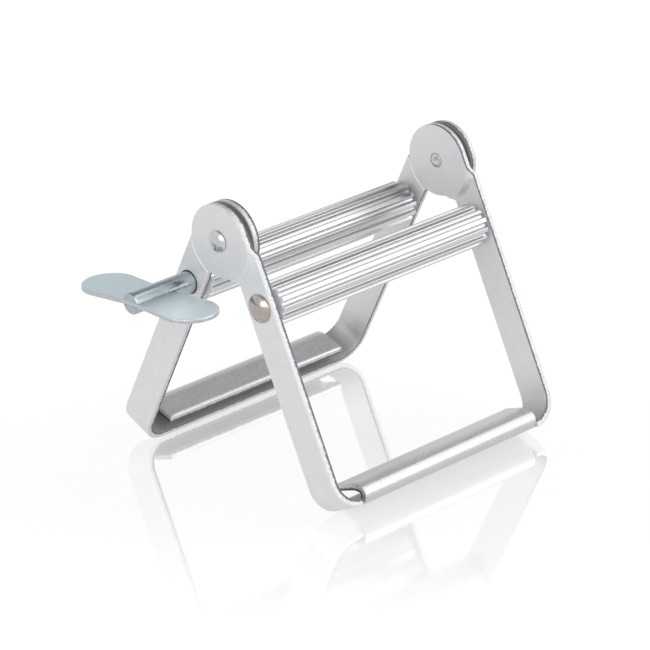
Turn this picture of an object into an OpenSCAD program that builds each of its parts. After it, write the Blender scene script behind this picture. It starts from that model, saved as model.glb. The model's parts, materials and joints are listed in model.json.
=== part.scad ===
// Toothpaste tube squeezer: two identical bent strip frames hinged at their round heads,
// an idle fluted roller in the front frame and a driven one, with a wing key, in the rear frame.
// The origin is on the standing surface, under the middle of the whole squeezer.
// X runs along the rollers, Y from the front frame to the rear frame, Z up.

/* [Frames] */
// Thickness of the steel strip
strip_t = 1.8; // [1.2:0.1:2.4]
// Width of the steel strip
strip_w = 8.5; // [7:0.1:8.8]
// Distance from the hinge axis to the underside of a handle
arm_len = 69; // [60:0.5:90]
// Width over the outer faces of the arms
outer_w = 76; // [60:0.5:100]
// Inside radius of the bend between an arm and its handle
bend_r = 5.5; // [3:0.1:7]
// Radius of the round heads
head_r = 9; // [8.8:0.1:10]
// Radius of the fillet between a head and the inner edge of its arm
neck_r = 2.5; // [1:0.1:3]
// Angle between the two frames as the squeezer stands
stand_angle = 51.4; // [40:0.2:70]

/* [Handles] */
// Outside radius of the curl at the outer edge of a handle
curl_r = 2.5; // [2.45:0.05:3]
// Distance that the curl stands out past the outer edge of the arms
curl_out = 0.9; // [0:0.1:2]
// Outside radius of the arched flap over the handle
arch_r = 6.3; // [5:0.1:8]
// Angle round the curl at which the arched flap begins
arch_from = 56; // [40:1:70]
// Angle round the arch at which the flap goes on straight
arch_to = 84; // [75:1:100]
// Length of the straight part of the flap, from the arch to its lip
flap_flat = 5.3; // [2:0.1:6]
// Distance from the outer face of an arm to the end of the curl
curl_inset = 8.2; // [7:0.1:12]
// Width of the relief slit beside each end of the curl
relief_w = 0.6; // [0.3:0.1:1]

/* [Hinges] */
// Gap between the two heads of a hinge
head_gap = 1.2; // [0.6:0.1:2]
// Distance from the rim of a head to the start of the joggle
joggle_start = 0.6; // [0.3:0.1:1]
// Distance along the arm that the joggle takes
joggle_run = 1.5; // [1:0.1:2]
// Diameter of the hinge rivets
rivet_d = 3; // [2.5:0.1:4]
// Diameter of the domed head of a hinge rivet
rivet_head_d = 5.4; // [4.5:0.1:7]
// Height of the domed head of a hinge rivet
rivet_head_h = 1; // [0.6:0.1:1.6]
// Height of the straight rim under that dome
rivet_rim_h = 0.35; // [0.1:0.05:0.5]
// Diameter of the flush tail of a hinge rivet
rivet_tail_d = 3.5; // [3.2:0.1:5]
// Depth of the flush tail of a hinge rivet
rivet_tail_t = 0.5; // [0.3:0.1:0.8]
// Outside diameter of the washer between two heads
washer_d = 11; // [8:0.5:16]
// Clearance between the washer and each head
washer_gap = 0.05; // [0.02:0.01:0.1]
// Radial clearance of every turning pin and shaft
run_gap = 0.05; // [0.02:0.01:0.1]

/* [Rollers] */
// Diameter over the ridges of a roller
roller_d = 10.7; // [9:0.1:12]
// Distance down the arm from the hinge axis to a roller
roller_drop = 17.7; // [16.5:0.1:24]
// Gap between each end of a roller and its arm
roller_end_gap = 1.35; // [0.3:0.05:2]
// Number of ridges round a roller
ridge_count = 13; // [8:1:20]
// Depth of the grooves between the ridges
groove_depth = 0.9; // [0.4:0.1:1.2]
// Width of the top of a ridge
ridge_top_w = 1.15; // [0.6:0.05:1.3]
// Width of the bottom of a groove
groove_floor_w = 0.65; // [0.3:0.05:1]
// Direction of one ridge of the front roller, seen from the right
front_ridge_at = 149; // [120:1:180]
// Direction of one ridge of the rear roller, seen from the right
rear_ridge_at = 143; // [120:1:180]

/* [Axle] */
// Diameter of the front roller's axle
axle_d = 4.5; // [3:0.1:6]
// Diameter of the axle's domed head
axle_head_d = 7; // [6.5:0.1:8]
// Height of the axle's domed head
axle_head_h = 1.3; // [0.8:0.1:2]
// Height of the straight rim under the dome
axle_rim_h = 0.3; // [0.1:0.1:0.6]
// Diameter of the riveted far end of the axle
axle_tail_d = 5.8; // [4.8:0.1:7]
// Height of the riveted far end of the axle
axle_tail_h = 0.8; // [0.4:0.1:1.5]

/* [Drive] */
// Diameter of the drive shaft
shaft_d = 5.4; // [4:0.1:6.5]
// Distance that the shaft stands out of the left arm
shaft_out = 18.6; // [14:0.2:30]
// Distance that the shaft stands out of the right arm
shaft_tail = 0.6; // [0:0.1:1]
// Chamfer on the ends of the shaft
shaft_chamfer = 0.3; // [0.1:0.1:0.6]
// Thickness of the wing key
key_t = 1; // [0.8:0.1:1.6]
// Distance from the middle of the key to the tip of a wing
key_reach = 20.4; // [14:0.1:26]
// Distance of the key's middle from the shaft's axis, towards the front
key_shift = 0.6; // [0:0.1:1.2]
// Width of the key where it sits in the shaft's slot
key_depth = 11.6; // [8:0.2:13]
// Radius of the rounded wing tips
key_tip_r = 6.9; // [4:0.1:7.2]
// Distance of the wing tips' centres from the shaft's end
key_tip_in = 5.6; // [4:0.1:8]
// Angle of the wing key above level, at its front wing
key_turn = 2; // [-20:1:20]

/* [Hidden] */
$fn = 96;

// Distance from the hinge axis to the inner edge of the strip, measured across the arm
strip_in = head_r - strip_w;
// Distance from the hinge axis to the middle of the strip, measured across the arm
strip_mid = head_r - strip_w / 2;
half_angle = stand_angle / 2;
// A margin by which cutting shapes run past the face that they cut
over = 1;
// Sideways offset of a head from the plane of its arm
joggle = (strip_t + head_gap) / 2;
joggle_end = head_r + joggle_start + joggle_run;
joggle_steps = 8;
// Where the neck's fillet is centred
neck_y = neck_r - strip_in;
neck_z = -sqrt(pow(head_r + neck_r, 2) - pow(neck_y, 2));
// Distance down the arm where the flat head plate ends and the plain strip goes on
plate_end = max(joggle_end, -neck_z) + over;
// Length over which joined lengths of the strip run into each other
overlap = 0.5;

curl_p = head_r + curl_out - curl_r;
curl_len = outer_w - 2 * curl_inset;
// Centres of the curl and of the arched flap, in the plane of Y and Z
curl_centre = [-curl_p, curl_r - arm_len];
arch_centre = curl_centre + (arch_r - curl_r) * [cos(arch_from), -sin(arch_from)];
arc_steps = 16;

roller_len = outer_w - 2 * strip_t - 2 * roller_end_gap;
roller_y = strip_mid * cos(half_angle) + roller_drop * sin(half_angle);
roller_z = strip_mid * sin(half_angle) - roller_drop * cos(half_angle);

shaft_end = -(outer_w / 2 + shaft_out);
shaft_len = shaft_out + outer_w + shaft_tail;

// The standing surface lies this far under the hinge axis
hinge_z = arm_len * cos(half_angle) - strip_in * sin(half_angle);
x_low = shaft_end - max(0, key_tip_r - key_tip_in);
x_high = outer_w / 2 + max(joggle + rivet_head_h, axle_tail_h, shaft_tail);
middle_x = (x_low + x_high) / 2;

// The finished place of everything that is drawn about the hinge axis
module placed() {
  translate([-middle_x, 0, hinge_z]) children();
}

// A frame hangs straight down as it is drawn, with its outer edge towards -Y
module in_front() {
  placed() rotate([-half_angle, 0, 0]) children();
}

module in_rear() {
  placed() rotate([0, 0, 180]) rotate([-half_angle, 0, 0]) children();
}

// Turns a shape drawn in the plane of Y and Z so that its thickness runs along X
module along_x() {
  rotate([90, 0, 90]) children();
}

module domed_head(d, h) {
  ball_r = (pow(d / 2, 2) + pow(h, 2)) / (2 * h);
  intersection() {
    translate([0, 0, h - ball_r]) sphere(r = ball_r);
    cylinder(d = d, h = h);
  }
}

// A head with a straight rim below its dome; h is its whole height
module pan_head(d, h, rim_h) {
  cylinder(d = d, h = rim_h);
  translate([0, 0, rim_h]) domed_head(d, h - rim_h);
}

// Offset of the plate at a distance from the hinge axis: full at the head, none on the arm
function step_at(r, off) =
  let (s = (r - head_r - joggle_start) / joggle_run)
  off * (1 + cos(180 * min(max(s, 0), 1))) / 2;

// The section of a head and its joggle, from the hinge axis outwards
module joggle_section(off) {
  reach = sqrt(pow(head_r, 2) + pow(plate_end, 2)) + over;
  joggle_radii = [for (i = [0 : joggle_steps]) head_r + joggle_start + joggle_run * i / joggle_steps];
  radii = concat([0], joggle_radii, [reach]);
  lower = [for (r = radii) [r, step_at(r, off)]];
  upper = [for (i = [len(radii) - 1 : -1 : 0]) [radii[i], step_at(radii[i], off) + strip_t]];
  polygon(concat(lower, upper));
}

// The flat outline of a head, its neck and the top of its arm
module plate_outline() {
  circle(r = head_r);
  translate([-head_r, -plate_end]) square([strip_w, plate_end]);
  neck_share = head_r / (head_r + neck_r);
  difference() {
    polygon([
      [-strip_mid, -head_r / 2],
      [neck_y * neck_share, neck_z * neck_share],
      [neck_y, neck_z],
      [-strip_in, neck_z],
      [-strip_mid, neck_z]
    ]);
    translate([neck_y, neck_z]) circle(r = neck_r);
  }
}

// The head on the right side; it stands outwards by off
module head_plate(off) {
  translate([outer_w / 2 - strip_t, 0, 0]) along_x() difference() {
    intersection() {
      rotate_extrude() joggle_section(off);
      translate([0, 0, -joggle - over]) linear_extrude(2 * joggle + strip_t + 2 * over) plate_outline();
    }
    translate([0, 0, off - over]) cylinder(d = rivet_d + 2 * run_gap, h = strip_t + 2 * over);
    if (off < 0) tail_sink(off);
  }
}

// The countersink for a rivet's flush tail, on the inner face of an inner head
module tail_sink(off) {
  translate([0, 0, off - run_gap])
    cylinder(d1 = rivet_tail_d + 2 * run_gap, d2 = rivet_d + 2 * run_gap, h = rivet_tail_t + run_gap);
}

// A filled U with rounded lower corners, open end at the height -top
module filled_u(width, depth, r, top) {
  translate([-width / 2, r - depth]) square([width, depth - r - top]);
  translate([r - width / 2, -depth]) square([width - 2 * r, depth - top]);
  for (side = [-1, 1]) translate([side * (width / 2 - r), r - depth]) circle(r = r);
}

// The two arms and the bottom bar, bent from one strip
module bent_strip() {
  top = plate_end - overlap;
  translate([0, -strip_in, 0]) rotate([90, 0, 0]) linear_extrude(strip_w) difference() {
    filled_u(outer_w, arm_len, bend_r + strip_t, top);
    filled_u(outer_w - 2 * strip_t, arm_len - strip_t, bend_r, top - over);
  }
}

// Points round an arc, without its last one
function arc_points(centre, r, angle_from, angle_to) = [
  for (i = [0 : arc_steps - 1])
    let (angle = angle_from + (angle_to - angle_from) * i / arc_steps)
    centre + r * [cos(angle), sin(angle)]
];

// The outer edge of the bottom bar, curled up and over as a flap: arched first, then straight
module curled_flap() {
  join = 180 - arch_from;
  arch_end = 180 - arch_to;
  inner_curl_r = curl_r - strip_t;
  inner_arch_r = arch_r - strip_t;
  upwards = [cos(arch_end), sin(arch_end)];
  lip = arch_centre + flap_flat * [sin(arch_end), -cos(arch_end)];
  along_x() linear_extrude(curl_len, center = true) polygon(concat(
    [curl_centre + [overlap, -curl_r]],
    arc_points(curl_centre, curl_r, 270, join),
    arc_points(arch_centre, arch_r, join, arch_end),
    [arch_centre + arch_r * upwards, lip + arch_r * upwards, lip + inner_arch_r * upwards],
    arc_points(arch_centre, inner_arch_r, arch_end, join),
    arc_points(curl_centre, inner_curl_r, join, 270),
    [curl_centre + [0, -inner_curl_r], curl_centre + [overlap, -inner_curl_r]]
  ));
}

// What is cut from the bar's outer edge: the curl's own place and the slits beside it
module curl_cut() {
  cut_len = curl_len + 2 * relief_w;
  translate([-cut_len / 2, -head_r - over, -arm_len - over])
    cube([cut_len, head_r + over - curl_p, strip_t + 2 * over]);
}

// One frame: left head outside, right head inside, and a bore through both arms
module frame(bore_d) {
  difference() {
    union() {
      mirror([1, 0, 0]) head_plate(joggle);
      head_plate(-joggle);
      difference() {
        bent_strip();
        curl_cut();
      }
      curled_flap();
    }
    translate([0, -strip_mid, -roller_drop]) along_x()
      cylinder(d = bore_d + 2 * run_gap, h = outer_w + 2 * over, center = true);
  }
}

module front_frame() {
  color("silver") in_front() frame(axle_d);
}

module rear_frame() {
  color("silver") in_rear() frame(shaft_d);
}

// A rivet on the left side: dome outside the outer head, tail flush with the inner head
module hinge_rivet() {
  stack = 2 * strip_t + head_gap;
  translate([-(outer_w / 2 + joggle), 0, 0]) along_x() {
    cylinder(d = rivet_d, h = stack - rivet_tail_t);
    translate([0, 0, stack - rivet_tail_t])
      cylinder(d1 = rivet_d, d2 = rivet_tail_d, h = rivet_tail_t);
    mirror([0, 0, 1]) pan_head(rivet_head_d, rivet_head_h, rivet_rim_h);
  }
}

module left_hinge_rivet() {
  color("gainsboro") in_front() hinge_rivet();
}

module right_hinge_rivet() {
  color("gainsboro") in_rear() hinge_rivet();
}

// A washer between the two heads on the left side
module hinge_washer() {
  translate([-(outer_w / 2 + joggle - strip_t - washer_gap), 0, 0]) along_x() difference() {
    cylinder(d = washer_d, h = head_gap - 2 * washer_gap);
    translate([0, 0, -over]) cylinder(d = rivet_d + 2 * run_gap, h = head_gap + 2 * over);
  }
}

module left_hinge_washer() {
  color("dimgray") in_front() hinge_washer();
}

module right_hinge_washer() {
  color("dimgray") in_rear() hinge_washer();
}

// The fluted section of a roller, with one ridge in the given direction
module roller_section(ridge_at) {
  pitch = 360 / ridge_count;
  root_r = roller_d / 2 - groove_depth;
  top_half = asin(ridge_top_w / roller_d);
  floor_half = asin(groove_floor_w / (2 * root_r));
  polygon([for (i = [0 : ridge_count - 1], k = [0 : 4])
    let (
      at = ridge_at + i * pitch,
      angle = k < 3 ? at + (k - 1) * top_half : at + pitch / 2 + (k == 3 ? -floor_half : floor_half),
      r = k < 3 ? roller_d / 2 : root_r
    )
    r * [cos(angle), sin(angle)]
  ]);
}

module fluted_roller(ridge_at, bore) {
  along_x() linear_extrude(roller_len, center = true) difference() {
    roller_section(ridge_at);
    circle(d = bore);
  }
}

module at_front_roller() {
  placed() translate([0, -roller_y, roller_z]) children();
}

module at_rear_roller() {
  placed() translate([0, roller_y, roller_z]) children();
}

// The idle roller turns on its axle
module front_roller() {
  color("whitesmoke") at_front_roller() fluted_roller(front_ridge_at, axle_d + 2 * run_gap);
}

// The axle is held in both arms, with its domed head on the left and a riveted end on the right
module front_axle() {
  color("rosybrown") at_front_roller() translate([-outer_w / 2, 0, 0]) along_x() {
    cylinder(d = axle_d, h = outer_w);
    mirror([0, 0, 1]) pan_head(axle_head_d, axle_head_h, axle_rim_h);
    translate([0, 0, outer_w]) domed_head(axle_tail_d, axle_tail_h);
  }
}

// The driven roller is pressed on the drive shaft
module rear_roller() {
  color("whitesmoke") at_rear_roller() fluted_roller(rear_ridge_at, shaft_d);
}

// The shaft is slotted at its left end, where the key sits
module drive_shaft() {
  color("lightsteelblue") at_rear_roller() translate([shaft_end, 0, 0]) difference() {
    along_x() {
      cylinder(d1 = shaft_d - 2 * shaft_chamfer, d2 = shaft_d, h = shaft_chamfer);
      translate([0, 0, shaft_chamfer]) cylinder(d = shaft_d, h = shaft_len - 2 * shaft_chamfer);
      translate([0, 0, shaft_len - shaft_chamfer])
        cylinder(d1 = shaft_d, d2 = shaft_d - 2 * shaft_chamfer, h = shaft_chamfer);
    }
    rotate([-key_turn, 0, 0]) translate([-over, -shaft_d / 2 - over, -key_t / 2])
      cube([key_depth + over, shaft_d + 2 * over, key_t]);
  }
}

// The point where a line from a point touches a circle, on the left (side 1) or right (side -1)
function touch_point(from, centre, r, side) =
  let (
    gap = centre - from,
    distance = norm(gap),
    heading = atan2(gap[1], gap[0]) + side * asin(r / distance)
  )
  from + sqrt(pow(distance, 2) - pow(r, 2)) * [cos(heading), sin(heading)];

// The outline of the upper wing, from the shaft's end round the tip, with that end at the left
function wing_points() =
  let (
    tip = [key_tip_in, key_reach - key_tip_r],
    outer_root = [0, shaft_d / 2],
    inner_root = [key_depth, shaft_d / 2],
    outer_arm = touch_point(outer_root, tip, key_tip_r, 1) - tip,
    inner_arm = touch_point(inner_root, tip, key_tip_r, -1) - tip,
    start = atan2(outer_arm[1], outer_arm[0]),
    finish = atan2(inner_arm[1], inner_arm[0])
  )
  concat(
    [outer_root],
    arc_points(tip, key_tip_r, start > 0 ? start : start + 360, finish),
    [tip + inner_arm, inner_root]
  );

// The key is one flat plate with two wings, held in the shaft's slot
module wing_key() {
  upper = wing_points();
  lower = [for (i = [len(upper) - 1 : -1 : 0]) [upper[i][0], -upper[i][1]]];
  color("lightsteelblue") at_rear_roller() translate([shaft_end, 0, 0])
    rotate([-key_turn, 0, 0]) translate([0, -key_shift, 0])
      linear_extrude(key_t, center = true) polygon(concat(upper, lower));
}

front_frame();
rear_frame();
left_hinge_rivet();
right_hinge_rivet();
left_hinge_washer();
right_hinge_washer();
front_roller();
front_axle();
rear_roller();
drive_shaft();
wing_key();
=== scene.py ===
import json
import math

import bmesh
import bpy
import numpy as np
from mathutils import Matrix, Vector
from mathutils.geometry import delaunay_2d_cdt


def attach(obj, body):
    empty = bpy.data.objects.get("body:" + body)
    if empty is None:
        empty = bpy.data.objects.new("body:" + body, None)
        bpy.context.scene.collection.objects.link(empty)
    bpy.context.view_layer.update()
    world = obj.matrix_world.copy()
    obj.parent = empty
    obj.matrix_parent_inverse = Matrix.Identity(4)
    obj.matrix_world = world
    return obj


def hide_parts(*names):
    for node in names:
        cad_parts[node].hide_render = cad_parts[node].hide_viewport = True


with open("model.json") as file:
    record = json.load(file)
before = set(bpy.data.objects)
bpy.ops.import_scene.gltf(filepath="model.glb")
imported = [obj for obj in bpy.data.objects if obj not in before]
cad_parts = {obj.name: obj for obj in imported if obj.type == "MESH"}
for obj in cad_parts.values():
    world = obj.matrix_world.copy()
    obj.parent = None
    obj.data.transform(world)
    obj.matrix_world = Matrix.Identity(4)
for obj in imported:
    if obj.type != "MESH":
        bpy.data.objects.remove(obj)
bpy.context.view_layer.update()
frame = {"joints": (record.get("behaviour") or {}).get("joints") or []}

# Sizes of the real object in millimetres
MM = 0.001
STRIP_T = 1.8
STRIP_W = 8.5
ARM_LEN = 69.0
OUTER_W = 76.0
BEND_R = 5.5
HEAD_R = 9.0
NECK_R = 2.5
STAND_ANGLE = 51.4
CURL_R = 2.5
CURL_OUT = 0.9
ARCH_R = 6.3
ARCH_FROM = 56.0
ARCH_TO = 84.0
FLAP_FLAT = 5.3
CURL_INSET = 8.2
RELIEF_W = 0.6
HEAD_GAP = 1.2
JOGGLE_START = 0.6
JOGGLE_RUN = 1.5
RIVET_D = 3.0
RIVET_HEAD_D = 5.4
RIVET_HEAD_H = 1.0
RIVET_RIM_H = 0.35
RIVET_TAIL_D = 3.5
RIVET_TAIL_T = 0.5
WASHER_D = 11.0
WASHER_GAP = 0.05
RUN_GAP = 0.05
ROLLER_D = 10.7
ROLLER_DROP = 17.7
ROLLER_END_GAP = 1.35
RIDGE_COUNT = 13
GROOVE_DEPTH = 0.9
RIDGE_TOP_W = 1.15
GROOVE_FLOOR_W = 0.65
FRONT_RIDGE_AT = 149.0
REAR_RIDGE_AT = 143.0
AXLE_D = 4.5
AXLE_HEAD_D = 7.0
AXLE_HEAD_H = 1.3
AXLE_RIM_H = 0.3
AXLE_TAIL_D = 5.8
AXLE_TAIL_H = 0.8
SHAFT_D = 5.4
SHAFT_OUT = 18.6
SHAFT_TAIL = 0.6
SHAFT_CHAMFER = 0.3
KEY_T = 1.0
KEY_REACH = 20.4
KEY_SHIFT = 0.6
KEY_DEPTH = 11.6
KEY_TIP_R = 6.9
KEY_TIP_IN = 5.6
KEY_TURN = 2.0

# Values that follow from them
ARM_X = OUTER_W / 2
STRIP_IN = HEAD_R - STRIP_W
STRIP_MID = HEAD_R - STRIP_W / 2
HALF_ANGLE = math.radians(STAND_ANGLE / 2)
JOGGLE = (STRIP_T + HEAD_GAP) / 2
CURL_P = HEAD_R + CURL_OUT - CURL_R
CURL_LEN = OUTER_W - 2 * CURL_INSET
ROLLER_LEN = OUTER_W - 2 * STRIP_T - 2 * ROLLER_END_GAP
ROLLER_Y = STRIP_MID * math.cos(HALF_ANGLE) + ROLLER_DROP * math.sin(HALF_ANGLE)
ROLLER_Z = STRIP_MID * math.sin(HALF_ANGLE) - ROLLER_DROP * math.cos(HALF_ANGLE)
SHAFT_END = -(ARM_X + SHAFT_OUT)
HINGE = Vector(frame["joints"][0]["pos_m"])

# Small roundings, undercuts and clearances that the dressed pieces have
FRAME_ROLL = 0.24
FRAME_BURR = 0.06
LIP_ROLL = 0.75
ROLLER_SOFT = 0.16
RIDGE_ROUND = 0.25
RIDGE_CROWN = 3.0
GROOVE_ROUND = 0.3
DOME_INSET = 0.12
RIM_INSET = 0.03
HEAD_UNDERCUT = 0.35
TAIL_FLARE = 0.3
WASHER_ROUND = 0.15
SHAFT_ROUND = 0.06
KEY_ROLL = 0.16
KEY_BURR = 0.08
PIN_PLAY = 0.2
SLOT_PLAY = 0.04
SLOT_OVER = 1.0

# Fade of the painted shade in the handle up the arms, of the painted sheen on the key's front wing, and a
# margin round the heads
PAINTED_SHADE_RUN = 16.0
PAINTED_SHEEN_RUN = 8.0
HEAD_MARGIN = 0.1

# Shares of a groove's depth where the painted shade on its flank is full, where it ends, and over which it
# fades
FLANK_FULL = 0.12
FLANK_END = 0.8
FLANK_FADE = 0.6

# The strip that each frame is bent from, laid flat: u runs along it from the left head, v across it
BEND_OUT = BEND_R + STRIP_T
ARM_FLAT = ARM_LEN - BEND_OUT
BEND_FLAT = (BEND_R + STRIP_T / 2) * math.pi / 2
STRIP_FLAT = 2 * ARM_FLAT + 2 * BEND_FLAT + OUTER_W - 2 * BEND_OUT
STRIP_HALF = STRIP_FLAT / 2
CURL_MID = CURL_R - STRIP_T / 2
ARCH_MID = ARCH_R - STRIP_T / 2
CURL_TURN = math.radians(90 + ARCH_FROM)
ARCH_TURN = math.radians(ARCH_TO - ARCH_FROM)
CURL_FLAT = CURL_MID * CURL_TURN
ARCH_FLAT = ARCH_MID * ARCH_TURN
FLAP_V = CURL_P + CURL_FLAT + ARCH_FLAT + FLAP_FLAT
FLAP_U = STRIP_HALF - CURL_LEN / 2
SLIT_U = FLAP_U - RELIEF_W
JOGGLE_END = HEAD_R + JOGGLE_START + JOGGLE_RUN


def place_in_row(x, y, z):
    """Points given in millimetres from the middle of the hinge axis, in the row's metres."""
    return np.stack([x, y, z], axis=-1) * MM + np.array(HINGE)


# The camera of the photograph, found from the object's own edges
CAMERA_AZIMUTH = math.radians(-45.312)
CAMERA_ELEVATION = math.radians(22.782)
CAMERA_ROLL = math.radians(-0.589)
CAMERA_FOCAL_PX = 3748.3
CAMERA_DISTANCE = 894.10
CAMERA_SIDE = -2.856
CAMERA_RISE = -30.495
PHOTO_PX = 650
SENSOR_MM = 36.0
CLIP_NEAR = 0.01
CLIP_FAR = 20


def add_camera():
    back = Vector((
        math.sin(CAMERA_AZIMUTH) * math.cos(CAMERA_ELEVATION),
        -math.cos(CAMERA_AZIMUTH) * math.cos(CAMERA_ELEVATION),
        math.sin(CAMERA_ELEVATION),
    ))
    level_right = Vector((0, 0, 1)).cross(back).normalized()
    level_up = back.cross(level_right)
    right = math.cos(CAMERA_ROLL) * level_right + math.sin(CAMERA_ROLL) * level_up
    up = back.cross(right)
    place = HINGE + MM * (CAMERA_DISTANCE * back + CAMERA_SIDE * right + CAMERA_RISE * up)
    data = bpy.data.cameras.new("camera")
    data.sensor_width = SENSOR_MM
    data.lens = CAMERA_FOCAL_PX / PHOTO_PX * SENSOR_MM
    data.clip_start = CLIP_NEAR
    data.clip_end = CLIP_FAR
    camera = bpy.data.objects.new("camera", data)
    camera.matrix_world = Matrix((
        (right.x, up.x, back.x, place.x),
        (right.y, up.y, back.y, place.y),
        (right.z, up.z, back.z, place.z),
        (0, 0, 0, 1),
    ))
    bpy.context.scene.collection.objects.link(camera)
    bpy.context.scene.camera = camera


def add_object(name, mesh):
    thing = bpy.data.objects.new(name, mesh)
    bpy.context.scene.collection.objects.link(thing)
    return thing


class Surface:
    """A material and short calls that add nodes to it."""

    # The colour sockets of a Mix node, which has others before them for numbers and vectors
    MIX_FIRST = 6
    MIX_SECOND = 7
    MIX_RESULT = 2

    def __init__(self, name, colour, metallic=1.0):
        self.material = bpy.data.materials.new(name)
        self.material.use_nodes = True
        self.tree = self.material.node_tree
        self.tree.nodes.clear()
        self.out = self.add("OutputMaterial")
        self.shader = self.add("BsdfPrincipled")
        self.link(self.shader.outputs["BSDF"], self.out.inputs["Surface"])
        self.shader.inputs["Base Color"].default_value = (*colour, 1)
        self.shader.inputs["Metallic"].default_value = metallic
        self.coords = self.add("TexCoord").outputs["Object"]

    def add(self, kind):
        return self.tree.nodes.new("ShaderNode" + kind)

    def link(self, source, socket):
        self.tree.links.new(source, socket)

    def feed(self, value, socket):
        """Links an output to a socket, or sets the socket to a plain number or colour."""
        if isinstance(value, bpy.types.NodeSocket):
            self.link(value, socket)
        else:
            socket.default_value = value

    def noise(self, size_mm, detail, stretch=(1, 1, 1)):
        """Noise whose blobs are about size_mm across, longer along an axis where stretch is above 1."""
        mapping = self.add("Mapping")
        mapping.inputs["Scale"].default_value = [1 / (MM * size_mm * s) for s in stretch]
        self.link(self.coords, mapping.inputs["Vector"])
        node = self.add("TexNoise")
        node.inputs["Scale"].default_value = 1
        node.inputs["Detail"].default_value = detail
        self.link(mapping.outputs["Vector"], node.inputs["Vector"])
        return node.outputs["Fac"]

    def attribute(self, name):
        node = self.add("Attribute")
        node.attribute_name = name
        return node.outputs["Fac"]

    def remap(self, value, from_low, from_high, to_low, to_high):
        node = self.add("MapRange")
        for key, number in (("From Min", from_low), ("From Max", from_high),
                            ("To Min", to_low), ("To Max", to_high)):
            self.feed(number, node.inputs[key])
        self.feed(value, node.inputs["Value"])
        return node.outputs["Result"]

    def calculate(self, operation, first, second):
        node = self.add("Math")
        node.operation = operation
        self.feed(first, node.inputs[0])
        self.feed(second, node.inputs[1])
        return node.outputs[0]

    def mix(self, share, first, second):
        node = self.add("Mix")
        node.data_type = "RGBA"
        self.feed(share, node.inputs["Factor"])
        self.feed(first, node.inputs[self.MIX_FIRST])
        self.feed(second, node.inputs[self.MIX_SECOND])
        return node.outputs[self.MIX_RESULT]

    def bump(self, height, depth_mm, strength, under=None):
        node = self.add("Bump")
        node.inputs["Strength"].default_value = strength
        node.inputs["Distance"].default_value = depth_mm * MM
        self.link(height, node.inputs["Height"])
        if under is not None:
            self.link(under, node.inputs["Normal"])
        return node.outputs["Normal"]


def shade(colour, factor):
    return tuple(min(1.0, part * factor) for part in colour) + (1.0,)


def rolled_strip_steel():
    """Satin steel strip, glossy where it is curled, with painted shade in the handle, under the bar and
    between the heads.

    Its cut edges are torn towards the inner face, and the torn line's near-black colour is partly painted
    shade in its hollows.
    """
    colour = (0.745, 0.75, 0.76)
    metal = Surface("rolled_strip_steel", colour)
    cut = metal.attribute("cut")
    depth = metal.attribute("depth")
    curled = metal.attribute("curled")
    cloud = metal.noise(2.5, 4)
    grain = metal.noise(0.5, 2)
    speckle = metal.noise(0.2, 3)
    tear = metal.noise(0.6, 4)
    line_at = metal.remap(metal.noise(1.5, 4), 0.3, 0.7, 0.8, 0.92)
    off_line = metal.calculate("ABSOLUTE", metal.calculate("SUBTRACT", depth, line_at), 0)
    line_half = metal.remap(tear, 0.35, 0.65, 0.15, 0.32)
    in_line = metal.remap(metal.calculate("DIVIDE", off_line, line_half), 0.6, 1.2, 1.0, 0.0)
    torn = metal.calculate("MULTIPLY", cut, in_line)
    clouds = metal.remap(cloud, 0.3, 0.7, 0.0, 1.0)
    open_faces = metal.mix(clouds, shade(colour, 0.97), shade(colour, 1.02))
    spots = metal.remap(speckle, 0.35, 0.65, 0.0, 1.0)
    # Painted shade: the inner face is darkened, in speckles, on the left head between the heads and in the
    # handle under the flap and round the bends
    painted_shade_faces = metal.mix(spots, shade(colour, 0.5), shade(colour, 0.66))
    on_inner_face = metal.remap(depth, 0.8, 0.98, 0.0, 1.0)
    on_outer_face = metal.remap(depth, 0.02, 0.2, 1.0, 0.0)
    painted_shade_inside = metal.calculate("MULTIPLY", metal.attribute("painted_shade_inside"), on_inner_face)
    painted_shade_outside = metal.calculate("MULTIPLY", metal.attribute("painted_shade_outside"), on_outer_face)
    grains = metal.remap(grain, 0.35, 0.65, 0.0, 1.0)
    grainy_faces = metal.mix(grains, shade(colour, 0.82), shade(colour, 0.98))
    # Painted shade: the outer face is darkened under the bar and on the right head between the heads
    outer_faces = metal.mix(painted_shade_outside, open_faces, shade(colour, 0.7))
    faces = metal.mix(painted_shade_inside, metal.mix(curled, outer_faces, grainy_faces), painted_shade_faces)
    cut_faces = metal.mix(spots, shade(colour, 0.6), shade(colour, 1.1))
    clean = metal.mix(cut, faces, cut_faces)
    # The torn line is rough metal, painted near black partly for the shade in its hollows
    torn_and_shaded_colour = metal.mix(tear, (0.06, 0.06, 0.07, 1), (0.2, 0.2, 0.22, 1))
    metal.link(metal.mix(torn, clean, torn_and_shaded_colour), metal.shader.inputs["Base Color"])
    metal.link(metal.remap(curled, 0.2, 0.8, 0.5, 0.9), metal.shader.inputs["Metallic"])
    dull = metal.remap(cloud, 0.3, 0.7, 0.38, 0.44)
    bright = metal.remap(grain, 0.3, 0.7, 0.28, 0.44)
    metal.link(metal.mix(curled, dull, bright), metal.shader.inputs["Roughness"])
    fine = metal.bump(grain, 0.004, 0.3)
    rough = metal.bump(metal.calculate("MULTIPLY", speckle, metal.calculate("MAXIMUM", cut, curled)),
                       0.03, 0.45, fine)
    metal.link(metal.bump(torn, -0.05, 0.6, rough), metal.shader.inputs["Normal"])
    return metal.material


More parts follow.
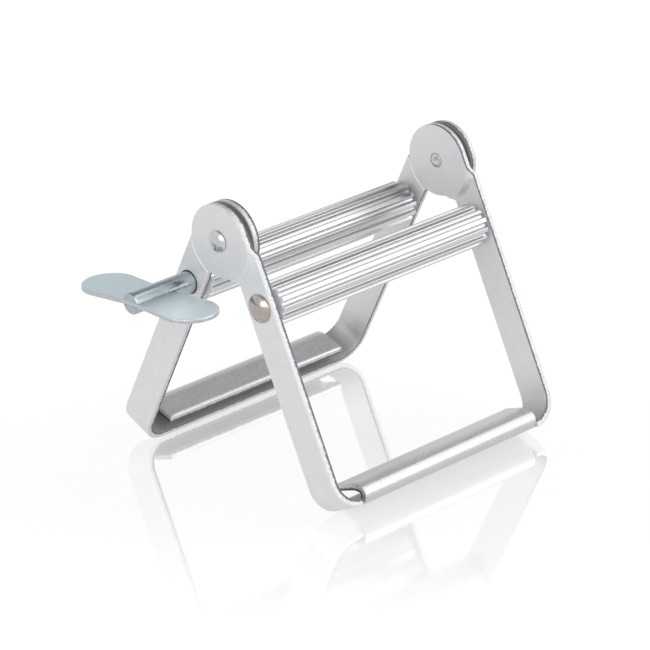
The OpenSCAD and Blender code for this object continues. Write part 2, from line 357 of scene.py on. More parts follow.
def drawn_aluminium():
    """Extruded aluminium with faint draw lines along X, painted shade on the flanks of its ridges, and matte
    sawn ends painted lighter.
    """
    colour = (0.7, 0.705, 0.71)
    metal = Surface("drawn_aluminium", colour)
    lines = metal.noise(0.3, 1, (60, 1, 1))
    cloud = metal.noise(3.0, 3, (3, 1, 1))
    faces = metal.mix(lines, shade(colour, 0.96), shade(colour, 1.02))
    # Painted shade on the ridges' flanks, darkened to 0.72 of the colour
    painted_flank_shade = metal.remap(metal.attribute("painted_flank_shade"), 0.1, 0.7, 0.0, 1.0)
    ridges = metal.mix(painted_flank_shade, faces, shade(colour, 0.72))
    # The sawn ends are matte, and their colour is painted lighter for the light that reaches them between the
    # roller and the arms
    sawn_and_lit_ends = metal.remap(metal.attribute("cut"), 0.0, 0.5, 1.0, 0.0)
    metal.link(metal.mix(sawn_and_lit_ends, ridges, (0.86, 0.88, 0.9, 1)), metal.shader.inputs["Base Color"])
    metal.link(metal.remap(sawn_and_lit_ends, 0.0, 1.0, 1.0, 0.3), metal.shader.inputs["Metallic"])
    metal.link(metal.remap(cloud, 0.3, 0.7, 0.27, 0.32), metal.shader.inputs["Roughness"])
    metal.link(metal.bump(lines, 0.004, 0.2), metal.shader.inputs["Normal"])
    return metal.material


def plated_metal(name, colour, tint, roughness, spot_mm, metallic=1.0):
    """A plated part: soft clouds between two tints, patchy gloss and a slightly uneven skin.

    It is lighter where a painted sheen is marked on it, and its cut edges show a duller metal.
    """
    metal = Surface(name, colour, metallic)
    cloud = metal.noise(spot_mm, 4)
    skin = metal.noise(0.5, 2)
    grain = metal.noise(0.12, 2)
    faces = metal.mix(metal.remap(cloud, 0.35, 0.65, 0.0, 1.0), (*colour, 1), (*tint, 1))
    dotted = metal.mix(metal.remap(skin, 0.35, 0.65, 0.0, 0.35), faces, shade(colour, 0.8))
    # Painted sheen: the marked part, the key's front wing, is lightened as if it caught more light
    painted_sheen = metal.mix(metal.attribute("painted_sheen"), dotted, shade(tint, 1.25))
    edge_tone = metal.mix(skin, (0.34, 0.32, 0.3, 1), (0.8, 0.83, 0.85, 1))
    metal.link(metal.mix(metal.attribute("cut"), painted_sheen, edge_tone), metal.shader.inputs["Base Color"])
    metal.link(metal.remap(cloud, 0.3, 0.7, roughness - 0.04, roughness + 0.05),
               metal.shader.inputs["Roughness"])
    waves = metal.bump(skin, 0.01, 0.4)
    metal.link(metal.bump(grain, 0.003, 0.5, waves), metal.shader.inputs["Normal"])
    return metal.material


# The floor's size and glow, and its gloss, which shows a mirror image that fades out
FLOOR_HALF = 4.0
FLOOR_GLOW = 0.64
FLOOR_GLOW_SEEN = 0.885
FLOOR_IOR = 1.33
GLOSS_PEAK = 6.4
GLOSS_REACH = 0.11
GLOSS_POWER = 0.75
GLOSS_AHEAD = 0.6
GLOSS_AROUND = 0.4


def add_floor():
    """A white floor whose gloss fades out all round the object, soonest to its front and back."""
    mesh = bpy.data.meshes.new("floor")
    signs = ((-1, -1), (1, -1), (1, 1), (-1, 1))
    mesh.from_pydata([(i * FLOOR_HALF, j * FLOOR_HALF, 0) for i, j in signs], [], [(0, 1, 2, 3)])
    floor = add_object("floor", mesh)
    white = Surface("floor_white", (0.22, 0.235, 0.25), 0.0)
    white.shader.inputs["Roughness"].default_value = 1.0
    white.shader.inputs["Specular IOR Level"].default_value = 0.0
    white.shader.inputs["Emission Color"].default_value = (1, 0.985, 0.975, 1)
    path = white.add("LightPath")
    seen = path.outputs["Is Camera Ray"]
    glow = white.remap(seen, 0.0, 1.0, FLOOR_GLOW, FLOOR_GLOW_SEEN)
    white.link(glow, white.shader.inputs["Emission Strength"])
    towards_camera = white.add("VectorMath")
    towards_camera.operation = "DOT_PRODUCT"
    towards_camera.inputs[1].default_value = (math.sin(CAMERA_AZIMUTH), -math.cos(CAMERA_AZIMUTH), 0)
    white.link(white.coords, towards_camera.inputs[0])
    from_middle = white.add("VectorMath")
    from_middle.operation = "LENGTH"
    white.link(white.coords, from_middle.inputs[0])
    ahead = white.calculate("ABSOLUTE", towards_camera.outputs["Value"], 0)
    ahead_squared = white.calculate("POWER", ahead, 2)
    radius_squared = white.calculate("POWER", from_middle.outputs["Value"], 2)
    spread = white.calculate("ADD", white.calculate("MULTIPLY", ahead_squared, GLOSS_AHEAD),
                             white.calculate("MULTIPLY", radius_squared, GLOSS_AROUND))
    distance = white.calculate("POWER", spread, GLOSS_POWER)
    fade = white.remap(distance, 0.0, GLOSS_REACH ** (2 * GLOSS_POWER), GLOSS_PEAK, 0.0)
    fresnel = white.add("Fresnel")
    fresnel.inputs["IOR"].default_value = FLOOR_IOR
    gloss = white.add("BsdfAnisotropic")
    gloss.inputs["Color"].default_value = (1.2, 1.19, 1.18, 1)
    gloss.inputs["Roughness"].default_value = 0.06
    mixed = white.add("MixShader")
    share = white.calculate("MULTIPLY", fade, fresnel.outputs["Fac"])
    white.link(white.calculate("MULTIPLY", share, seen), mixed.inputs["Fac"])
    white.link(white.shader.outputs["BSDF"], mixed.inputs[1])
    white.link(gloss.outputs["BSDF"], mixed.inputs[2])
    white.link(mixed.outputs["Shader"], white.out.inputs["Surface"])
    mesh.materials.append(white.material)


def add_softbox(name, place, facing, width, height, glow):
    """A rectangular soft lamp of an even glow, where 1 would look white."""
    data = bpy.data.lights.new(name, "AREA")
    data.shape = "RECTANGLE"
    data.size = width
    data.size_y = height
    data.energy = glow * math.pi * width * height
    lamp = bpy.data.objects.new(name, data)
    lamp.location = place
    lamp.rotation_euler = (-Vector(facing)).to_track_quat("Z", "Y").to_euler()
    bpy.context.scene.collection.objects.link(lamp)


def add_world():
    """A studio that is white near the horizon and grey overhead."""
    world = bpy.data.worlds.new("studio")
    bpy.context.scene.world = world
    world.use_nodes = True
    tree = world.node_tree
    tree.nodes.clear()
    link = tree.links.new
    coords = tree.nodes.new("ShaderNodeTexCoord")
    split = tree.nodes.new("ShaderNodeSeparateXYZ")
    link(coords.outputs["Generated"], split.inputs["Vector"])
    ramp = tree.nodes.new("ShaderNodeValToRGB")
    ramp.color_ramp.interpolation = "EASE"
    stops = ramp.color_ramp.elements
    stops[0].position = 0.3
    stops[0].color = (0.88, 0.88, 0.88, 1)
    stops[1].position = 0.7
    stops[1].color = (0.33, 0.33, 0.34, 1)
    link(split.outputs["Z"], ramp.inputs["Fac"])
    back = tree.nodes.new("ShaderNodeBackground")
    link(ramp.outputs["Color"], back.inputs["Color"])
    out = tree.nodes.new("ShaderNodeOutputWorld")
    link(back.outputs["Background"], out.inputs["Surface"])


# Plane outlines, as arrays of points that keep the solid on their left

def arc(centre, radius, first, last, step=0.25):
    """Points round an arc from one angle to another in degrees, without the last one."""
    count = max(4, math.ceil(abs(math.radians(last - first)) * radius / step))
    angles = np.radians(first + (last - first) * np.arange(count) / count)
    return np.array(centre, float) + radius * np.column_stack([np.cos(angles), np.sin(angles)])


def hole(centre, radius, count=72):
    """A round hole's outline, which runs clockwise."""
    angles = -np.arange(count) * 2 * np.pi / count
    return np.array(centre, float) + radius * np.column_stack([np.cos(angles), np.sin(angles)])


def level(us, v):
    return np.column_stack([us, np.full(len(us), v)])


def upright(u, vs):
    return np.column_stack([np.full(len(vs), u), vs])


def rounded(corners, radii, steps=4, most=0.45):
    """A closed outline with its corners rounded off by short curves.

    No curve takes more of a side than the share most.
    """
    corners = np.array(corners, float)
    points = []
    for i, corner in enumerate(corners):
        before = corners[i - 1] - corner
        after = corners[(i + 1) % len(corners)] - corner
        before_len, after_len = np.linalg.norm(before), np.linalg.norm(after)
        turn = math.pi - math.acos(np.clip(before @ after / before_len / after_len, -1, 1))
        cut = min(radii[i] * math.tan(turn / 2), most * before_len, most * after_len)
        first = corner + before / before_len * cut
        last = corner + after / after_len * cut
        for k in range(steps + 1):
            f = k / steps
            points.append((1 - f) ** 2 * first + 2 * f * (1 - f) * corner + f ** 2 * last)
    return np.array(points)


def inward_normals(loop, longest=1.5):
    """Mitres that point from a loop into the solid on its left, none longer than longest."""
    ahead = np.roll(loop, -1, axis=0) - loop
    ahead /= np.linalg.norm(ahead, axis=1)[:, None]
    behind = np.roll(ahead, 1, axis=0)
    normals = np.column_stack([-ahead[:, 1] - behind[:, 1], ahead[:, 0] + behind[:, 0]])
    length = np.linalg.norm(normals, axis=1)
    return normals / length[:, None] * np.minimum(2 / length, longest)[:, None]


def well_inside(points, loops, margin, at_once=300):
    """The points that lie in the solid between the loops, a margin away from each of them.

    They are tested at_once at a time, to save memory.
    """
    kept = []
    for some in np.array_split(points, max(1, len(points) // at_once)):
        crossings = np.zeros(len(some), int)
        nearest = np.full(len(some), np.inf)
        for loop in loops:
            start, end = loop, np.roll(loop, -1, axis=0)
            along = end - start
            above = (start[:, 1] > some[:, 1:]) != (end[:, 1] > some[:, 1:])
            rise = np.where(along[:, 1] == 0, 1, along[:, 1])
            at = start[:, 0] + (some[:, 1:] - start[:, 1]) / rise * along[:, 0]
            crossings += (above & (some[:, :1] < at)).sum(axis=1)
            share = ((some[:, None] - start) * along).sum(axis=2) / (along ** 2).sum(axis=1)
            closest = start + np.clip(share, 0, 1)[:, :, None] * along
            nearest = np.minimum(nearest, np.linalg.norm(some[:, None] - closest, axis=2).min(axis=1))
        kept.append(some[(crossings % 2 == 1) & (nearest > margin)])
    return np.vstack(kept)


def edge_profile(thickness, roll, burr, steps=4, middle=0.45):
    """Rows round a cut edge: rolled over at depth 0, straight, and with a small burr at the far face.

    Each row holds the inset and depth at every point of the outline, and whether the row is cut metal.
    One row lies on the straight part, at the share middle of its length.
    """
    angles = math.pi / 2 * np.arange(steps + 1) / steps
    rows = [(roll * (1 - math.sin(a)), roll * (1 - math.cos(a)), a == angles[-1]) for a in angles]
    zero = 0 * roll
    rows.append((zero, roll + (thickness - roll - burr) * middle, True))
    for a in angles[::2]:
        inset = zero + burr * (1 - math.cos(a))
        depth = zero + thickness - burr * (1 - math.sin(a))
        rows.append((inset, depth, a == 0))
    return rows


def finish_mesh(mesh, sharp=35, weld_mm=0):
    """Turns the faces outwards and shades them smooth, except across edges over an angle in degrees."""
    work = bmesh.new()
    work.from_mesh(mesh)
    if weld_mm:
        bmesh.ops.remove_doubles(work, verts=work.verts, dist=weld_mm * MM)
    bmesh.ops.recalc_face_normals(work, faces=work.faces)
    work.to_mesh(mesh)
    work.free()
    mesh.shade_smooth()
    mesh.set_sharp_from_angle(angle=math.radians(sharp))
    return mesh


def mark(mesh, name, values):
    """Gives each point of a mesh a number that its material can read."""
    attribute = mesh.attributes.new(name, "FLOAT", "POINT")
    attribute.data.foreach_set("value", np.asarray(values, np.float32))


def face_triangles(flat, loops, firsts, inner, epsilon=1e-7):
    """Triangles of one flat face, between its loops and through the points inside them.

    firsts holds the numbers of the first points of the loops' rows, and inner those of the points inside.
    """
    inside_only = 1
    index, bounds, owner = [], [], []
    for number, (loop, first) in enumerate(zip(loops, firsts)):
        at = len(index)
        bounds.extend((at + i, at + (i + 1) % len(loop)) for i in range(len(loop)))
        index.extend(range(first, first + len(loop)))
        owner.extend([number] * len(loop))
    index.extend(inner)
    owner.extend([0] * len(inner))
    result = delaunay_2d_cdt([Vector(flat[i, :2]) for i in index], bounds, [], inside_only, epsilon)
    origins = [first for first, *others in result[3]]
    triangles = []
    for face in result[2]:
        owners = {owner[origins[v]] for v in face}
        if len(owners) > 1 or 0 in owners:
            triangles.append(tuple(index[origins[v]] for v in face))
    return triangles


def plate_mesh(name, loops, thickness, fold, rolls, burr, grid=None, margin=0.3, marks=()):
    """A plate with rounded edges. loops holds its outline and then its holes, in millimetres.

    rolls gives each loop's rolled edge a radius, or one for each of its points.
    fold takes arrays of u, v and depth and gives the points in the row's metres.
    marks pairs names with functions of u and v, for numbers that the material reads.
    """
    blocks, cuts, faces, starts, total = [], [], [], [], 0
    for loop, roll in zip(loops, rolls):
        normals = inward_normals(loop)
        rows = edge_profile(thickness, np.broadcast_to(roll, len(loop)), burr)
        starts.append([])
        for inset, depth, is_cut in rows:
            starts[-1].append(total)
            blocks.append(np.column_stack([loop + normals * inset[:, None], depth]))
            cuts.append(np.full(len(loop), float(is_cut)))
            total += len(loop)
        for upper, lower in zip(starts[-1], starts[-1][1:]):
            for i in range(len(loop)):
                j = (i + 1) % len(loop)
                faces.append((upper + i, upper + j, lower + j, lower + i))
    widest = max(np.max(roll) for roll in rolls)
    inner = np.zeros((0, 2)) if grid is None else well_inside(grid, loops, margin + widest)
    for row, depth in ((0, 0.0), (len(rows) - 1, thickness)):
        blocks.append(np.column_stack([inner, np.full(len(inner), depth)]))
        cuts.append(np.zeros(len(inner)))
        flat = np.vstack(blocks)
        firsts = [start[row] for start in starts]
        faces.extend(face_triangles(flat, loops, firsts, range(total, total + len(inner))))
        total += len(inner)
    mesh = bpy.data.meshes.new(name)
    mesh.from_pydata(fold(flat[:, 0], flat[:, 1], flat[:, 2]).tolist(), [], faces)
    mark(mesh, "cut", np.concatenate(cuts))
    mark(mesh, "depth", flat[:, 2] / thickness)
    for key, measure in marks:
        mark(mesh, key, measure(flat[:, 0], flat[:, 1]))
    return finish_mesh(mesh)


def lathe_mesh(name, profile, y, z, segments=96, tip_r=1e-6):
    """A solid turned about a line along X. profile holds (x, radius) pairs from one end to the other.

    A ring no wider than tip_r becomes a single point.
    """
    angles = np.arange(segments) * 2 * np.pi / segments
    points, faces, rings = [], [], []
    for x, radius in profile:
        around = angles if radius > tip_r else angles[:1]
        rings.append(range(len(points), len(points) + len(around)))
        xs = np.full(len(around), x)
        points.extend(place_in_row(xs, y + radius * np.cos(around), z + radius * np.sin(around)).tolist())
    for ring, following in zip(rings, rings[1:]):
        for i in range(segments):
            j = (i + 1) % segments
            corners = [ring[i % len(ring)], ring[j % len(ring)],
                       following[j % len(following)], following[i % len(following)]]
            faces.append(list(dict.fromkeys(corners)))
    mesh = bpy.data.meshes.new(name)
    mesh.from_pydata(points, [], faces)
    return finish_mesh(mesh, weld_mm=0.001)


def dome(x, radius, height, side, steps=10):
    """Profile of a domed end from its middle to its rim; side is -1 where it bulges towards -X."""
    ball_r = (radius ** 2 + height ** 2) / (2 * height)
    half = math.asin(radius / ball_r)
    angles = [half * k / steps for k in range(steps + 1)]
    return [(x + side * (ball_r * math.cos(a) - ball_r + height), ball_r * math.sin(a)) for a in angles]


def domed_head(face, radius, height, rim_h, turned_at, widest_at, steps=10):
    """Profile of a pin's domed head on a face, from its middle to the undercut below its rim.

    turned_at and widest_at are the shares of the rim's height where it turns over and is widest.
    """
    profile = dome(face - rim_h, radius - DOME_INSET, height - rim_h, -1, steps)
    profile.append((face - rim_h * turned_at, radius - RIM_INSET))
    profile.append((face - rim_h * widest_at, radius))
    profile.append((face, radius - HEAD_UNDERCUT))
    return profile


def add_piece(name, mesh, material, node, body):
    """Puts a mesh in the scene in place of a node of the frame."""
    piece = add_object(name, mesh)
    mesh.materials.append(material)
    weighted = piece.modifiers.new("weighted_normals", "WEIGHTED_NORMAL")
    weighted.keep_sharp = True
    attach(piece, body)
    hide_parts(node)
    return piece


class FrameHalf:
    """One of the two frames: the rear one is the front one turned half a turn."""

    def __init__(self, name, pin_d):
        self.name = name
        self.turned = name == "rear"
        self.pin_d = pin_d

    def place(self, x, p, q):
        """Row points from the frame's own x, the distance p towards its outer edge and q down the arm."""
        across = p * math.cos(HALF_ANGLE) + q * math.sin(HALF_ANGLE)
        rise = p * math.sin(HALF_ANGLE) - q * math.cos(HALF_ANGLE)
        if self.turned:
            return place_in_row(-x, across, rise)
        return place_in_row(x, -across, rise)


def bend_to_bar(down, depth):
    """x and q of the left arm, its bend and its half of the bar, from the distance down the strip."""
    turn = np.clip((down - ARM_FLAT) / BEND_FLAT, 0, 1) * math.pi / 2
    on_arm = np.minimum(down, ARM_FLAT)
    on_bar = np.maximum(down - ARM_FLAT - BEND_FLAT, 0)
    r = BEND_OUT - depth
    x = BEND_OUT - ARM_X - r * np.cos(turn) + on_bar
    q = on_arm + r * np.sin(turn)
    return x, q


def curl_over(past, depth):
    """p and q of the curl, the arch and the straight lip, from the distance past the curl's start."""
    in_curl = np.clip(past / CURL_MID, 0, CURL_TURN)
    in_arch = np.clip((past - CURL_FLAT) / ARCH_MID, 0, ARCH_TURN)
    in_lip = np.maximum(past - CURL_FLAT - ARCH_FLAT, 0)
    shift = ARCH_R - CURL_R
    arched = in_arch > 0
    middle_p = np.where(arched, CURL_P - shift * math.sin(CURL_TURN), CURL_P)
    middle_q = ARM_LEN - CURL_R - np.where(arched, shift * math.cos(CURL_TURN), 0)
    r = np.where(arched, ARCH_R, CURL_R) - depth
    angle = in_curl + in_arch
    p = middle_p + r * np.sin(angle) + in_lip * np.cos(angle)
    q = middle_q + r * np.cos(angle) - in_lip * np.sin(angle)
    return p, q


def joggle_offset(r):
    """How far a point of a head or joggle is set off, from its distance to the hinge axis."""
    share = np.clip((r - HEAD_R - JOGGLE_START) / JOGGLE_RUN, 0, 1)
    return JOGGLE * (1 + np.cos(np.pi * share)) / 2


def fold_strip(half, u, v, depth):
    """Bends points of the flat strip to the shape of a frame."""
    right = u > STRIP_HALF
    down = np.where(right, STRIP_FLAT - u, u)
    x, q = bend_to_bar(down, depth)
    past = v - CURL_P
    flap = (down > FLAP_U - RELIEF_W / 2) & (past > 0)
    flap_p, flap_q = curl_over(past, depth)
    p = np.where(flap, flap_p, v)
    q = np.where(flap, flap_q, q)
    offset = joggle_offset(np.hypot(down, v))
    return half.place(np.where(right, -x, x) - offset, p, q)


# Where the strip's edges and faces get their points, closest together at the necks and corners
CORNER_R = 0.4
CORNER_STEP = 0.1
NECK_STEP = 0.2
HEAD_STEP = 0.6
NECK_FROM = 3
NECK_TO = 7
EDGE_MARGIN = 0.1
JOGGLE_MARGIN = 1
NEAR = 0.01
HEAD_US = np.concatenate([np.arange(0, NECK_FROM, HEAD_STEP), np.arange(NECK_FROM, NECK_TO, NECK_STEP)])
ARM_US = np.linspace(NECK_TO, ARM_FLAT, 24)[:-1]
BEND_US = np.linspace(ARM_FLAT, ARM_FLAT + BEND_FLAT, 33)
FLAP_US = np.linspace(FLAP_U + CORNER_R, STRIP_HALF, 24)
CURL_VS = np.linspace(CURL_P, CURL_P + CURL_FLAT, 27)
ARCH_VS = np.linspace(CURL_P + CURL_FLAT, CURL_P + CURL_FLAT + ARCH_FLAT, 15)[1:]
LIP_VS = np.linspace(FLAP_V - FLAP_FLAT, FLAP_V - CORNER_R, 10)[1:]
SIDE_VS = np.concatenate([CURL_VS, ARCH_VS, LIP_VS])
FLAT_VS = np.linspace(STRIP_IN + 1, CURL_P - 0.3, 7)


def half_strip_outline():
    """The left half of the flat strip's outline, from the middle of the flap round to the inner edge."""
    neck_v = STRIP_IN - NECK_R
    neck_u = math.sqrt((HEAD_R + NECK_R) ** 2 - neck_v ** 2)
    neck_turn = math.degrees(math.atan2(-neck_v, neck_u))
    slit_r = RELIEF_W / 2
    slit_v = CURL_P + slit_r
    side_vs = SIDE_VS[SIDE_VS > slit_v]
    mouth_u = SLIT_U - CORNER_R
    edge_us = np.concatenate([HEAD_US, ARM_US, BEND_US])
    outer_us = edge_us[edge_us < mouth_u - EDGE_MARGIN]
    inner_us = np.concatenate([edge_us[edge_us > neck_u], FLAP_US])
    return np.vstack([
        level(FLAP_US[::-1], FLAP_V),
        arc((FLAP_U + CORNER_R, FLAP_V - CORNER_R), CORNER_R, 90, 180, CORNER_STEP)[1:],
        upright(FLAP_U, side_vs[::-1]),
        arc((FLAP_U - slit_r, slit_v), slit_r, 0, -180, CORNER_STEP),
        upright(SLIT_U, np.linspace(slit_v, HEAD_R - CORNER_R, 6)[:-1]),
        arc((mouth_u, HEAD_R - CORNER_R), CORNER_R, 0, 90, CORNER_STEP),
        level(np.append(mouth_u, outer_us[:0:-1]), HEAD_R),
        arc((0, 0), HEAD_R, 90, 360 - neck_turn),
        arc((neck_u, neck_v), NECK_R, 180 - neck_turn, 90, step=0.15),
        level(np.append(neck_u, inner_us[1:]), STRIP_IN),
    ])


def lip_roll(loop):
    """Radius of the rolled edge at each point of the strip's outline: wide along the flap's lip."""
    from_corner = np.abs(loop[:, 0] - STRIP_HALF) - (STRIP_HALF - FLAP_U - CORNER_R)
    share = np.where(loop[:, 1] > FLAP_V - NEAR, np.clip(-from_corner / LIP_ROLL, 0, 1), 0)
    return FRAME_ROLL + (LIP_ROLL - FRAME_ROLL) * share


def curl_share(u, v):
    """1 on the flap from one curl radius past its start, and 0 off it."""
    on_flap = abs(u - STRIP_HALF) < STRIP_HALF - SLIT_U
    return np.where(on_flap, np.clip((v - CURL_P) / CURL_R, 0, 1), 0)


def inner_painted_shade(u, v):
    """Painted shade on the inner face: 1 on the left head and in the handle up to its arch, fading out up the
    arms.
    """
    past_bend = STRIP_HALF - abs(u - STRIP_HALF) - ARM_FLAT - BEND_FLAT
    in_handle = np.clip(1 + past_bend / PAINTED_SHADE_RUN, 0, 1)
    before_arch = np.clip((CURL_P + CURL_FLAT - v) / CURL_R, 0, 1)
    return np.maximum(np.hypot(u, v) < HEAD_R + HEAD_MARGIN, in_handle * before_arch)


def outer_painted_shade(u, v):
    """Painted shade on the outer face: 1 on the bar and the right head, and 0 elsewhere."""
    on_bar = abs(u - STRIP_HALF) < STRIP_HALF - ARM_FLAT - BEND_FLAT
    on_right_head = np.hypot(u - STRIP_FLAT, v) < HEAD_R + HEAD_MARGIN
    return on_bar | on_right_head


def frame_mesh(half):
    """One strip, cut flat with its bores and slits and then bent."""
    left = half_strip_outline()
    mirrored = (left * (-1, 1) + (STRIP_FLAT, 0))[::-1]
    pin_r = half.pin_d / 2 + PIN_PLAY
    loops = [
        np.vstack([left, mirrored[1:-1]]),
        hole((0, 0), RIVET_D / 2 + RUN_GAP),
        hole((STRIP_FLAT, 0), RIVET_TAIL_D / 2 + RUN_GAP),
        hole((ROLLER_DROP, STRIP_MID), pin_r),
        hole((STRIP_FLAT - ROLLER_DROP, STRIP_MID), pin_r),
    ]
    ring_rs = np.linspace(HEAD_R + JOGGLE_START, JOGGLE_END, 9)
    rings = [arc((0, 0), r, -60, 90, step=0.3) for r in ring_rs]
    strip_us = np.concatenate([ARM_US[ARM_US > JOGGLE_END + JOGGLE_MARGIN], BEND_US, FLAP_US])
    grid = np.vstack(rings + [level(strip_us, v) for v in FLAT_VS] + [level(FLAP_US, v) for v in SIDE_VS])
    left_grid = grid[grid[:, 0] < STRIP_HALF - EDGE_MARGIN]
    grid = np.vstack([grid, left_grid * (-1, 1) + (STRIP_FLAT, 0)])
    rolls = [lip_roll(loops[0])] + [FRAME_ROLL] * (len(loops) - 1)
    marks = [("curled", curl_share), ("painted_shade_inside", inner_painted_shade), ("painted_shade_outside", outer_painted_shade)]

    def fold(u, v, depth):
        return fold_strip(half, u, v, depth)

    return plate_mesh(half.name + "_strip", loops, STRIP_T, fold, rolls, FRAME_BURR, grid, EDGE_MARGIN, marks)


def mirrored_profile(half, profile):
    """A profile of the left side, or the same at the right for the rear frame."""
    return [(-x, r) for x, r in profile] if half.turned else profile


def rivet_mesh(half):
    """Pan head outside the outer head, plain shank, and a tail set flush with the inner head."""
    face = -(ARM_X + JOGGLE)
    end = face + 2 * STRIP_T + HEAD_GAP
    tail_at = end - RIVET_TAIL_T
    shank_r, tail_r = RIVET_D / 2, RIVET_TAIL_D / 2
    # The peened end: depth and inset round its rim, then depth and radius across its dimple
    rim = ((0.16, 0), (0.05, 0.06), (0, 0.22))
    dimple = ((0, 0.75), (0.05, 0.55), (0.14, 0.3), (0.16, 0))
    profile = domed_head(face, RIVET_HEAD_D / 2, RIVET_HEAD_H, RIVET_RIM_H, turned_at=0.75, widest_at=0.45)
    profile += [(face, shank_r), (tail_at - TAIL_FLARE, shank_r), (tail_at, tail_r)]
    profile += [(end - depth, tail_r - inset) for depth, inset in rim]
    profile += [(end - depth, radius) for depth, radius in dimple]
    return lathe_mesh(half.name + "_rivet", mirrored_profile(half, profile), 0, 0)


def washer_mesh(half):
    """A flat friction washer with rounded rims between two heads."""
    first = -(ARM_X + JOGGLE - STRIP_T - WASHER_GAP)
    last = first + HEAD_GAP - 2 * WASHER_GAP
    outer, inner = WASHER_D / 2, RIVET_D / 2 + RUN_GAP
    profile = [(first, inner), (first, outer - WASHER_ROUND), (first + WASHER_ROUND, outer),
               (last - WASHER_ROUND, outer), (last, outer - WASHER_ROUND), (last, inner), (first, inner)]
    return lathe_mesh(half.name + "_washer", mirrored_profile(half, profile), 0, 0)


def roller_mesh(name, y, ridge_at, bore_r):
    """A fluted tube with one ridge in the given direction."""
    pitch = 360 / RIDGE_COUNT
    outer_r = ROLLER_D / 2
    root_r = outer_r - GROOVE_DEPTH
    top_half = math.degrees(math.asin(RIDGE_TOP_W / ROLLER_D))
    floor_half = math.degrees(math.asin(GROOVE_FLOOR_W / (2 * root_r)))
    corners, radii = [], []
    for i in range(RIDGE_COUNT):
        ridge = ridge_at + i * pitch
        groove = ridge + pitch / 2
        around = (
            (ridge - top_half, outer_r, RIDGE_ROUND),
            (ridge, outer_r, RIDGE_CROWN),
            (ridge + top_half, outer_r, RIDGE_ROUND),
            (groove - floor_half, root_r, GROOVE_ROUND),
            (groove + floor_half, root_r, GROOVE_ROUND),
        )
        for angle, r, soft in around:
            corners.append((r * math.cos(math.radians(angle)), r * math.sin(math.radians(angle))))
            radii.append(soft)
    loops = [rounded(corners, radii), hole((0, 0), bore_r)]

    def along_axis(u, v, depth):
        return place_in_row(depth - ROLLER_LEN / 2, y + u, ROLLER_Z + v)

    # Painted shade on the flanks: its share across the groove's depth
    def painted_flank_shade(u, v):
        share = (outer_r - np.hypot(u, v)) / GROOVE_DEPTH
        return np.clip(share / FLANK_FULL, 0, 1) * np.clip((FLANK_END - share) / FLANK_FADE, 0, 1)

    return plate_mesh(name, loops, ROLLER_LEN, along_axis, [ROLLER_SOFT, ROLLER_SOFT], ROLLER_SOFT,
                      marks=[("painted_flank_shade", painted_flank_shade)])


def axle_mesh():
    """The idle roller's axle, with its domed head on the left and a riveted end on the right."""
    tail_r, pin_r = AXLE_TAIL_D / 2, AXLE_D / 2
    profile = domed_head(-ARM_X, AXLE_HEAD_D / 2, AXLE_HEAD_H, AXLE_RIM_H,
                         turned_at=0.7, widest_at=0.4, steps=14)
    profile += [(-ARM_X, pin_r), (ARM_X, pin_r), (ARM_X, tail_r)]
    profile += dome(ARM_X, tail_r, AXLE_TAIL_H, 1)[::-1][1:]
    return lathe_mesh("axle", profile, -ROLLER_Y, ROLLER_Z)


def key_point(x, across, rise):
    """Row points in the key's own axes, turned a little about the shaft."""
    turn = math.radians(-KEY_TURN)
    y = across * math.cos(turn) - rise * math.sin(turn)
    z = across * math.sin(turn) + rise * math.cos(turn)
    return place_in_row(SHAFT_END + x, ROLLER_Y + y, ROLLER_Z + z)


def cut_away(mesh, cutter):
    """The mesh without what lies inside the cutter."""
    solid, tool = add_object("solid", mesh), add_object("tool", cutter)
    boolean = solid.modifiers.new("cut", "BOOLEAN")
    boolean.operation = "DIFFERENCE"
    boolean.solver = "EXACT"
    boolean.object = tool
    graph = bpy.context.evaluated_depsgraph_get()
    result = bpy.data.meshes.new_from_object(solid.evaluated_get(graph))
    bpy.data.objects.remove(solid)
    bpy.data.objects.remove(tool)
    return finish_mesh(result)


def shaft_mesh():
    """A round shaft with chamfered ends and a slot for the key at the left."""
    r, low = SHAFT_D / 2, SHAFT_D / 2 - SHAFT_CHAMFER
    end = ARM_X + SHAFT_TAIL
    profile = [(SHAFT_END, 0), (SHAFT_END, low - SHAFT_ROUND), (SHAFT_END + SHAFT_ROUND / 2, low),
               (SHAFT_END + SHAFT_CHAMFER, r - SHAFT_ROUND / 2),
               (SHAFT_END + SHAFT_CHAMFER + SHAFT_ROUND, r),
               (end - SHAFT_CHAMFER, r), (end, low), (end, 0)]
    shaft = lathe_mesh("shaft", profile, ROLLER_Y, ROLLER_Z)
    half_w = KEY_T / 2 + SLOT_PLAY
    reach = r + SLOT_OVER
    slot = bpy.data.meshes.new("slot")
    signs = [(x, j, k) for x in (-SLOT_OVER, KEY_DEPTH) for j in (-1, 1) for k in (-1, 1)]
    corners = [key_point(x, j * reach, k * half_w) for x, j, k in signs]
    slot.from_pydata([c.tolist() for c in corners], [],
                     [(0, 1, 3, 2), (4, 6, 7, 5), (0, 4, 5, 1), (2, 3, 7, 6), (0, 2, 6, 4), (1, 5, 7, 3)])
    return cut_away(shaft, finish_mesh(slot))


def touch_angle(start, centre, radius, side):
    """Direction from a circle's centre to where a line from start touches it."""
    gap = np.array(centre) - start
    distance = np.linalg.norm(gap)
    heading = math.atan2(gap[1], gap[0]) + side * math.asin(radius / distance)
    length = math.sqrt(distance ** 2 - radius ** 2)
    touch = np.array(start) + length * np.array([math.cos(heading), math.sin(heading)]) - centre
    return math.degrees(math.atan2(touch[1], touch[0])) % 360


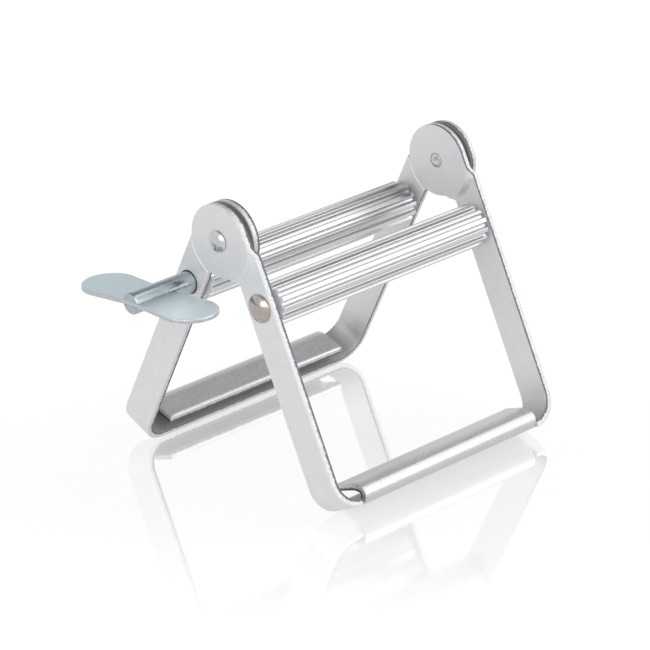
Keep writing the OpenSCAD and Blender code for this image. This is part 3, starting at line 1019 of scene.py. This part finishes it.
def key_mesh():
    """The wing key: one flat plate with two rounded wings."""
    tip = (KEY_TIP_IN, KEY_REACH - KEY_TIP_R)
    outer_root, inner_root = (0, SHAFT_D / 2), (KEY_DEPTH, SHAFT_D / 2)
    first = touch_angle(outer_root, tip, KEY_TIP_R, 1)
    last = touch_angle(inner_root, tip, KEY_TIP_R, -1)
    if last > first:
        last -= 360
    wing = arc(tip, KEY_TIP_R, first, last, step=0.4)
    upper = np.vstack([[outer_root], wing, [inner_root]])
    lower = (upper * (1, -1))[::-1]
    outline = np.vstack([upper, lower])[::-1]

    def in_slot(u, v, depth):
        return key_point(u, v - KEY_SHIFT, KEY_T / 2 - depth)

    # Painted sheen, growing lighter towards the front wing's tip
    def painted_sheen(u, v):
        return np.clip((-v - SHAFT_D) / PAINTED_SHEEN_RUN, 0, 1)

    grid = np.vstack([level(np.arange(1, KEY_DEPTH), v) for v in np.arange(1 - KEY_REACH, KEY_REACH)])
    return plate_mesh("key", [outline], KEY_T, in_slot, [KEY_ROLL], KEY_BURR, grid,
                      marks=[("painted_sheen", painted_sheen)])


bpy.context.scene.view_settings.view_transform = "Standard"
add_camera()
add_world()
add_floor()
add_softbox("softbox_right", (0.75, -0.57, 0.66), (0, 0.69, -0.72), width=1.3, height=1.6, glow=1.25)
add_softbox("softbox_left", (-1.16, 0.13, 0.21), (0.98, -0.11, -0.15), width=0.5, height=0.4, glow=1.75)
add_softbox("softbox_fill", (-1.8, -0.9, 1.1), (0.79, 0.39, -0.47), width=2.1, height=2.1, glow=1.05)
steel = rolled_strip_steel()
aluminium = drawn_aluminium()
rivet_steel = plated_metal("rivet_steel", (0.72, 0.725, 0.735), (0.6, 0.605, 0.615),
                           roughness=0.18, spot_mm=1.2, metallic=0.9)
washer_steel = plated_metal("washer_steel", (0.3, 0.3, 0.31), (0.22, 0.22, 0.23),
                            roughness=0.4, spot_mm=1.5)
nickel = plated_metal("warm_nickel", (0.56, 0.51, 0.47), (0.46, 0.41, 0.37),
                      roughness=0.16, spot_mm=1.5)
zinc = plated_metal("blue_zinc", (0.63, 0.755, 0.785), (0.68, 0.775, 0.825),
                    roughness=0.34, spot_mm=3.0, metallic=0.8)
dark_zinc = plated_metal("dark_blue_zinc", (0.47, 0.55, 0.58), (0.52, 0.58, 0.62),
                         roughness=0.26, spot_mm=2.0)

FRONT = FrameHalf("front", AXLE_D)
REAR = FrameHalf("rear", SHAFT_D)
for half, side in ((FRONT, "left"), (REAR, "right")):
    body = half.name + "_frame"
    hinge = side + "_hinge"
    add_piece(half.name + "_bent_strip", frame_mesh(half), steel, body, body)
    add_piece(side + "_rivet", rivet_mesh(half), rivet_steel, hinge + "_rivet", body)
    add_piece(side + "_washer", washer_mesh(half), washer_steel, hinge + "_washer", body)
add_piece("idle_roller", roller_mesh("idle_roller", -ROLLER_Y, FRONT_RIDGE_AT, AXLE_D / 2 + RUN_GAP),
          aluminium, "front_roller", "front_roller")
add_piece("driven_roller", roller_mesh("driven_roller", ROLLER_Y, REAR_RIDGE_AT, SHAFT_D / 2),
          aluminium, "rear_roller", "drive")
add_piece("roller_axle", axle_mesh(), nickel, "front_axle", "front_frame")
add_piece("slotted_shaft", shaft_mesh(), dark_zinc, "drive_shaft", "drive")
add_piece("butterfly_key", key_mesh(), zinc, "wing_key", "drive")
